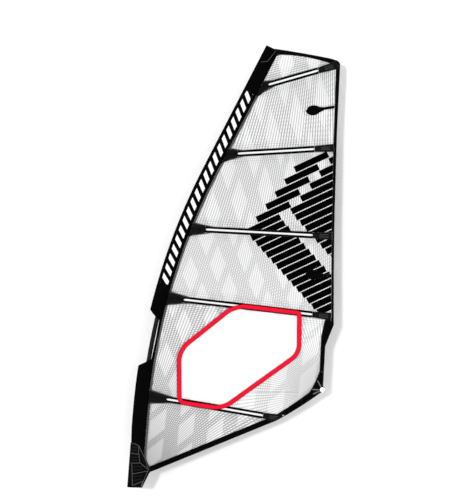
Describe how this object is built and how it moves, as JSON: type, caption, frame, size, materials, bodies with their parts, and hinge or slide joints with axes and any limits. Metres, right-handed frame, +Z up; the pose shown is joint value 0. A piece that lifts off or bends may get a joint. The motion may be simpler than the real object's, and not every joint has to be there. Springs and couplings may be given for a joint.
{
  "type": "windsurf sail rig",
  "caption": "Wave windsurf sail rigged on its mast: luff sleeve with boom cut-out, film panels, red-bordered window, sliding battens, clew eyelet and folding tack guard.",
  "frame": {"origin": "centre of the mast's lower mouth, where the mast extension enters", "axes": "+Z up, close to the mast's foot; +X aft from the luff to the leech; -Y is the side seen with the luff on the left"},
  "size_m": [1.9199, 0.1197, 3.9814],
  "materials": {
    "carbon": "satin filament-wound carbon laminate",
    "moulded_cap": "moulded nylon cup",
    "sleeve_cloth": "dense black polyester sleeve cloth",
    "seam_tape": "grey stitched seam tape",
    "thread_film": "translucent polyester film with laminated threads",
    "clear_window": "clear monofilm",
    "red_border": "bright red stitched tape",
    "trim_cloth": "black reinforcing cloth",
    "eyelet_steel": "polished pressed eyelet",
    "webbing": "grey polyester webbing",
    "pocket_tape": "pale pocket sleeve between black edge tapes",
    "patch_cloth": "dark grey reinforcing patch",
    "ribbed_plastic": "ribbed moulded end fitting",
    "batten_rod": "pultruded glass-fibre rod",
    "fitting_plastic": "moulded nylon",
    "screw_steel": "stainless socket screw",
    "tack_rubber": "moulded rubber-faced guard",
    "pulley_steel": "stainless sheet",
    "roller_nylon": "turned nylon"
  },
  "bodies": {
    "rig": {"batten_pocket_1": "pocket_tape", "batten_pocket_2": "pocket_tape", "batten_pocket_3": "pocket_tape", "batten_pocket_4": "pocket_tape", "batten_pocket_5": "pocket_tape", "clew_eyelet": "eyelet_steel", "clew_patch": "trim_cloth", "clew_webbing": "webbing", "film_clew": "thread_film", "film_foot": "thread_film", "film_head": "thread_film", "film_lower": "thread_film", "film_luff": "thread_film", "film_middle": "thread_film", "film_upper": "thread_film", "foot_trim": "trim_cloth", "head_cap": "moulded_cap", "head_trim": "trim_cloth", "leech_mini_battens": "trim_cloth", "leech_trim": "trim_cloth", "luff_batten_patches": "patch_cloth", "luff_seam_tape": "seam_tape", "luff_sleeve_lower": "sleeve_cloth", "luff_sleeve_upper": "sleeve_cloth", "mast_bottom_section": "carbon", "mast_ferrule": "carbon", "mast_top_section": "carbon", "tack_axle": "pulley_steel", "tack_fairing": "tack_rubber", "tack_pulley_frame": "pulley_steel", "tack_webbing": "webbing", "tensioner_housings": "ribbed_plastic", "window": "clear_window", "window_border": "red_border"},
    "tack_flap": {"tack_flap": "tack_rubber"},
    "tack_roller_1": {"tack_roller_1": "roller_nylon"},
    "tack_roller_2": {"tack_roller_2": "roller_nylon"},
    "tack_roller_3": {"tack_roller_3": "roller_nylon"},
    "batten_1": {"batten_1": "batten_rod", "batten_1_end_fittings": "fitting_plastic"},
    "tension_screw_1": {"tension_screw_1": "screw_steel"},
    "batten_2": {"batten_2": "batten_rod", "batten_2_end_fittings": "fitting_plastic"},
    "tension_screw_2": {"tension_screw_2": "screw_steel"},
    "batten_3": {"batten_3": "batten_rod", "batten_3_end_fittings": "fitting_plastic"},
    "tension_screw_3": {"tension_screw_3": "screw_steel"},
    "batten_4": {"batten_4": "batten_rod", "batten_4_end_fittings": "fitting_plastic"},
    "tension_screw_4": {"tension_screw_4": "screw_steel"},
    "batten_5": {"batten_5": "batten_rod", "batten_5_end_fittings": "fitting_plastic"},
    "tension_screw_5": {"tension_screw_5": "screw_steel"}
  },
  "joints": [
    {"name": "tack_flap_fold", "type": "hinge", "parent": "rig", "child": "tack_flap", "pos_m": [-0.08742, 0, -0.03339], "axis": [-0.0767, 0, -0.9971], "range_deg": [0, 110]},
    {"name": "tack_roller_1_turn", "type": "hinge", "parent": "rig", "child": "tack_roller_1", "pos_m": [0.03597, 0, 0.01127], "axis": [0.9971, 0, -0.0767], "continuous": true},
    {"name": "tack_roller_2_turn", "type": "hinge", "parent": "rig", "child": "tack_roller_2", "pos_m": [0.04494, 0, 0.01058], "axis": [0.9971, 0, -0.0767], "continuous": true},
    {"name": "tack_roller_3_turn", "type": "hinge", "parent": "rig", "child": "tack_roller_3", "pos_m": [0.05392, 0, 0.00989], "axis": [0.9971, 0, -0.0767], "continuous": true},
    {"name": "batten_1_slide", "type": "slide", "parent": "rig", "child": "batten_1", "axis": [-0.9601, -0.0231, -0.2787], "range_m": [0, 0.006]},
    {"name": "tension_screw_1_turn", "type": "hinge", "parent": "batten_1", "child": "tension_screw_1", "pos_m": [1.71163, 0.05344, 3.72321], "axis": [-0.9601, -0.0231, -0.2787], "range_deg": [0, 2160.5]},
    {"name": "batten_2_slide", "type": "slide", "parent": "rig", "child": "batten_2", "axis": [-0.9972, 0.042, -0.0615], "range_m": [0, 0.006]},
    {"name": "tension_screw_2_turn", "type": "hinge", "parent": "batten_2", "child": "tension_screw_2", "pos_m": [1.68011, 0.06539, 2.99771], "axis": [-0.9972, 0.042, -0.0615], "range_deg": [0, 2160.5]},
    {"name": "batten_3_slide", "type": "slide", "parent": "rig", "child": "batten_3", "axis": [-0.9922, 0.1123, 0.0532], "range_m": [0, 0.006]},
    {"name": "tension_screw_3_turn", "type": "hinge", "parent": "batten_3", "child": "tension_screw_3", "pos_m": [1.66363, 0.04503, 2.21099], "axis": [-0.9922, 0.1123, 0.0532], "range_deg": [0, 2160.5]},
    {"name": "batten_4_slide", "type": "slide", "parent": "rig", "child": "batten_4", "axis": [-0.9838, 0.1386, 0.1135], "range_m": [0, 0.006]},
    {"name": "tension_screw_4_turn", "type": "hinge", "parent": "batten_4", "child": "tension_screw_4", "pos_m": [1.65784, 0.01914, 1.49164], "axis": [-0.9838, 0.1386, 0.1135], "range_deg": [0, 2160.5]},
    {"name": "batten_5_slide", "type": "slide", "parent": "rig", "child": "batten_5", "axis": [-0.9825, 0.0829, 0.1666], "range_m": [0, 0.006]},
    {"name": "tension_screw_5_turn", "type": "hinge", "parent": "batten_5", "child": "tension_screw_5", "pos_m": [1.21302, 0.03628, 0.57645], "axis": [-0.9825, 0.0829, 0.1666], "range_deg": [0, 2160.5]}
  ],
  "couplings": [
    {"joint": "tension_screw_1_turn", "follows": "batten_1_slide", "rad_per_m": 6283.2},
    {"joint": "tension_screw_2_turn", "follows": "batten_2_slide", "rad_per_m": 6283.2},
    {"joint": "tension_screw_3_turn", "follows": "batten_3_slide", "rad_per_m": 6283.2},
    {"joint": "tension_screw_4_turn", "follows": "batten_4_slide", "rad_per_m": 6283.2},
    {"joint": "tension_screw_5_turn", "follows": "batten_5_slide", "rad_per_m": 6283.2}
  ]
}
